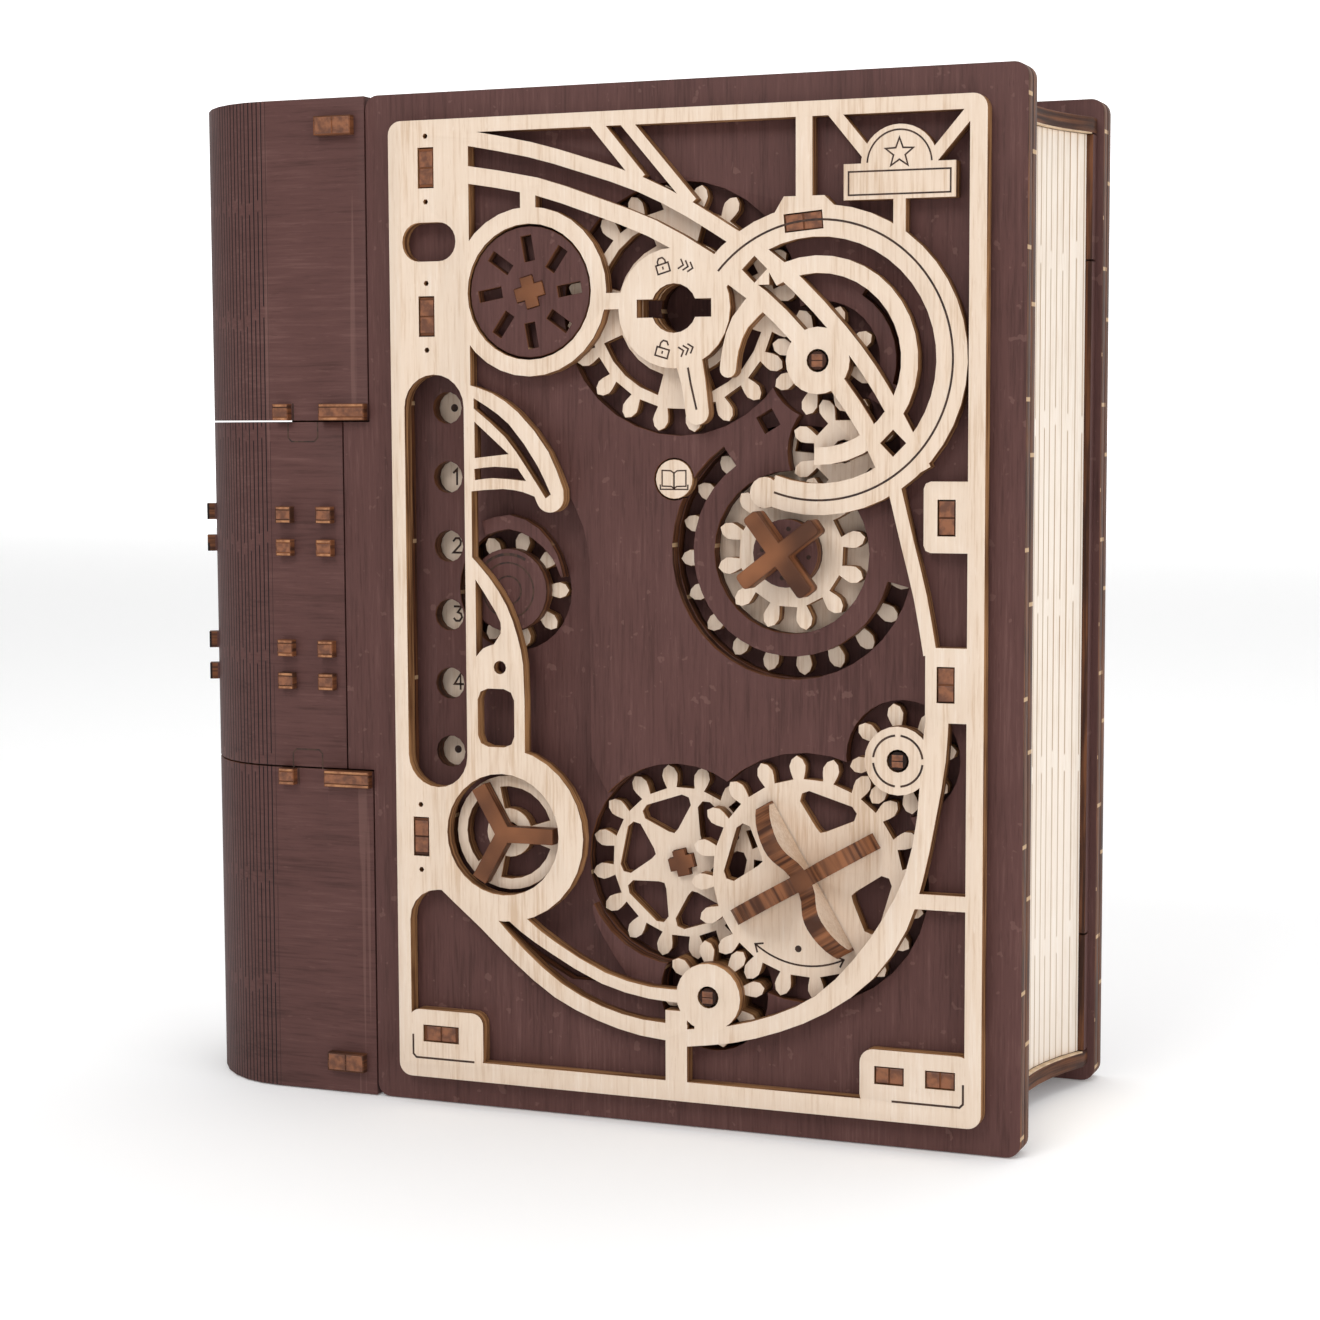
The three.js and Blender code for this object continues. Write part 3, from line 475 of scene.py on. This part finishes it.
def turned(lines, cx, cz, r, angle):
    """Moves small marks drawn about (0, 0) to radius r at that angle, with their tops outwards."""
    a = math.radians(angle)
    ox, oz = cx + r * math.cos(a), cz + r * math.sin(a)
    up, side = (math.cos(a), math.sin(a)), (math.sin(a), -math.cos(a))
    if math.sin(a) < 0:  # below the keyhole the marks stay upright
        up, side = (-up[0], -up[1]), (-side[0], -side[1])
    return [[(ox + u * side[0] + v * up[0], oz + u * side[1] + v * up[1]) for u, v in line]
            for line in lines]


BODY = [(-1.15, -1.15), (1.15, -1.15), (1.15, 0.35), (-1.15, 0.35), (-1.15, -1.15)]
SHUT = [(-0.7, 0.35), (-0.7, 0.9), (-0.35, 1.4), (0.35, 1.4), (0.7, 0.9), (0.7, 0.35)]
OPEN = [(-0.7, 0.35), (-0.7, 1.15), (-0.35, 1.65), (0.35, 1.65), (0.7, 1.15)]
DOT = [(0, -0.5), (0, -0.2)]
CHEVRONS = [[(x - 0.35, 0.8), (x + 0.35, 0), (x - 0.35, -0.8)] for x in (-0.9, 0, 0.9)]
engrave("keyhole_marks", "door", 0,
        turned([BODY, SHUT, DOT], *key, 7.4, 106) + turned(CHEVRONS, *key, 7.4, 72)
        + turned([BODY, OPEN, DOT], *key, 7.4, 254) + turned(CHEVRONS, *key, 7.4, 288), 0.28)
star = [(93.8 + r * math.sin(math.radians(36 * i)), 161.9 + r * math.cos(math.radians(36 * i)))
        for i, r in ((i, 2.5 if i % 2 == 0 else 1.05) for i in range(11))]
engrave("plaque_border", "door", 0, [
    [(85.1, 155.3), (102.5, 155.3), (102.5, 159.1), (85.1, 159.1), (85.1, 155.3)],
    arc_pts(93.8, 160.2, 5.5, 4, 176, 6), star], 0.28)
LEAF = [(0, -1.6), (0.5, -1.25), (2.2, -1.2), (2.2, 1.5), (0.6, 1.45), (0, 1.05), (0, -1.6)]
BINDING = [(-2.55, -1.0), (-2.55, -1.75), (2.55, -1.75), (2.55, -1.0)]
engrave("book_icon", "door", face_depth("icon_disc"),
        [[(icon[0] + s * u, icon[1] + v) for u, v in LEAF] for s in (-1, 1)]
        + [[(icon[0] + u, icon[1] + v) for u, v in BINDING]], 0.24)
INDEX_FOOT, INDEX_STEP = 58.9, 12.37  # the lowest index hole and the rise to the next
DIGITS = {  # by index hole, counted from the lowest: the strokes of 1 to 4 from the top down
    4: [[(-0.55, 0.75), (0.1, 1.35), (0.1, -1.35)]],
    3: [[(-0.75, 0.8), (-0.3, 1.3), (0.4, 1.3), (0.75, 0.75), (0.6, 0.1), (-0.8, -1.3), (0.85, -1.3)]],
    2: [[(-0.7, 1.3), (0.75, 1.3), (-0.05, 0.25), (0.6, 0.0), (0.8, -0.65), (0.3, -1.3), (-0.4, -1.3),
         (-0.8, -0.9)]],
    1: [[(0.35, -1.35), (0.35, 1.35), (-0.85, -0.45), (0.9, -0.45)]]}
marks = []
for row in range(6):
    z0 = INDEX_FOOT + INDEX_STEP * row
    if row in DIGITS:
        marks += [[(8.35 + u, z0 + v) for u, v in line] for line in DIGITS[row]]
    else:
        marks.append((arc_pts(8.1, z0, 0.35, 0, 360, 30), 0.7))
engrave("index_marks", "index", face_depth("index_strip"), marks, 0.38)
engrave("small_dial_rings", "small", face_depth("small_dial"),
        [arc_pts(*small, 4.9, 0, 360, 8), arc_pts(*small, 2.5, 0, 360, 12),
         (arc_pts(*small, 6.4, 60, 150, 8), 0.5)], 0.3)
engrave("middle_disc_dots", "middle", face_depth("mid_disc"),
        [(arc_pts(mid[0] + 4.2 * math.cos(a), mid[1] + 4.2 * math.sin(a), 0.2, 0, 360, 45), 0.4)
         for a in (math.radians(t) for t in (82, 172, 262, 352))], 0.4)
SCALE_R = 15.2
scale_dot = arc_pts(*arc_pts(*main_c, 12.4, -97, -96)[0], 0.3, 0, 360, 45)
scale_heads = [[arc_pts(*main_c, r, a, a + 1)[0]
                for r, a in ((14.2, b - s * 4), (SCALE_R, b), (16.1, b - s * 4))]
               for b, s in ((-64, 1), (-128, -1))]
engrave("handle_scale", "main", face_depth("main_gear"),
        [arc_pts(*main_c, SCALE_R, -128, -64, 4), (scale_dot, 0.6), *scale_heads], 0.32)
# burnt ends of the tenons that show in the light frame: middle, width, height and turn
TENONS = [(7.33, 162.7, 2.6, 5.7, 0), (7.2, 136.8, 2.6, 5.7, 0), (4.95, 44, 2.6, 5.7, 0),
          (8.4, 8.05, 5.7, 2.6, 0), (92.6, 7.8, 4.7, 2.6, 0), (101.5, 7.8, 4.7, 2.6, 0),
          (102.1, 102.2, 2.6, 5.5, 0), (102.1, 74.55, 2.6, 5.5, 0), (77.25, 151.3, 6.3, 2.6, 5)]
bm = bmesh.new()
for x, z, w, h, t in TENONS:
    split_tiles(bm, x, z, w, h, 0.35, 0.02, t)
mesh_piece("tenon_ends", "door", bm, end_grain)
# square ends of the three pins that show in the frame
for node, body in SQUARE_PINS.items():
    bm = bmesh.new()
    cx, cz = centre(node)
    split_tiles(bm, cx, cz, 1.9, 2.1, face_depth(node) + 0.1, face_depth(node) - 0.12, 0, 0.16)
    mesh_piece(node + "_end", body, bm, end_grain)
# ends of the spine's ribs and lugs: left, right and foot of each
RIBS = [(x0, x1, z0) for z0 in (100, 94, 75.6, 69.6) for x0, x1 in ((-24.7, -21.6), (-16.4, -13.3))]
LUGS = [(x0, x1, z0) for z0 in (118.6, 51.9) for x0, x1 in ((-24.95, -21.8), (-15.5, -6.3))]
RIM_BANDS, END_BANDS = ((0.1, 0.5), (2.5, 2.9)), ((0.72, 2.28),)  # heights of the light and the burnt plies
for label, mat, bands in (("rib_rims", end_light, RIM_BANDS), ("rib_ends", end_grain, END_BANDS)):
    bm = bmesh.new()
    for x0, x1, z0 in RIBS + LUGS:
        for lo, hi in bands:
            tile(bm, (x0 + x1) / 2, z0 + (lo + hi) / 2, x1 - x0 - 0.35, hi - lo, 1.4, 1.2, 0, 0.08)
    if label == "rib_ends":
        for z0 in (169.4, -0.9):
            split_tiles(bm, -11.9, z0 + 1.7, 6.9, 2.9, 1.4, 1.2)
    mesh_piece(label, "book", bm, mat)
# the tongues of the outer sections, let into the middle one
tongue = [(-22.7, 0), (-22.7, -2.7), (-22.0, -3.4), (-17.3, -3.4), (-16.6, -2.7), (-16.6, 0)]
sides = [[(-21.6, 0.1), (-21.6, 3)], [(-15.7, 0.1), (-15.7, 3)]]
FLAT_D = 3  # depth of the spine's flat strip
engrave("tongue_lines", "book", FLAT_D,
        [[(x, 118.2 + z) for x, z in tongue], [(x, 55.0 - z) for x, z in tongue],
         *[[(x, 118.6 + z) for x, z in line] for line in sides],
         *[[(x, 54.9 - z) for x, z in line] for line in sides]], 0.26)

# strips behind the seams of the spine's flat part, so that the light doesn't show through them
bm = bmesh.new()
strip = [(-23.4, -1.6), (-23, -2), (-7, -2), (-6.6, -1.6), (-6.6, 1.6), (-7, 2), (-23, 2), (-23.4, 1.6)]
for z in (118.45, 54.95):
    ring = [bm.verts.new(P(x, d, z + dz)) for d in (5.75, 6.3) for x, dz in strip]
    a, c = ring[:8], ring[8:]
    bm.faces.new(a)
    bm.faces.new(c[::-1])
    for k in range(8):
        bm.faces.new((a[k], a[(k + 1) % 8], c[(k + 1) % 8], c[k]))
mesh_piece("seam_strips", "book", bm, dark_front)

# pale rims where the page sheet meets the head and foot boards, along their hollowed edge
cap_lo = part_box("cap_top")[0]
d0 = (cap_lo.y - CORNER.y) / MM
page_len = (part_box("page_edge")[1].y - cap_lo.y) / MM


EDGE_X, EDGE_SAG = 113.3, 5.2  # the boards' fore-edge, and how far it is hollowed in the middle
RIM_STEPS = 24


def hollow(d):
    """Where the boards' fore-edge lies at depth d."""
    u = 2 * (d - d0) / page_len - 1
    return EDGE_X - EDGE_SAG * (1 - min(1, u * u))


bm = bmesh.new()
for z, dz in (((cap_lo.z - CORNER.z) / MM, -0.27), ((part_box("cap_bottom")[1].z - CORNER.z) / MM, 0.27)):
    rings = []
    for i in range(RIM_STEPS + 1):
        d = d0 + 0.2 + (page_len - 0.3) * i / RIM_STEPS
        x = hollow(d) - 0.12
        rings.append([bm.verts.new(P(x, d, z)), bm.verts.new(P(x, d, z + dz)),
                      bm.verts.new(P(x - 0.9, d, z + dz)), bm.verts.new(P(x - 0.9, d, z))])
    for r0, r1 in zip(rings, rings[1:]):
        for k in range(4):
            bm.faces.new((r0[k], r0[(k + 1) % 4], r1[(k + 1) % 4], r1[k]))
    bm.faces.new(rings[0])
    bm.faces.new(rings[-1][::-1])
mesh_piece("page_rims", "book", bm, plain("page_rim", (0.55, 0.38, 0.23), (0.72, 0.54, 0.36), 0.6, 500))
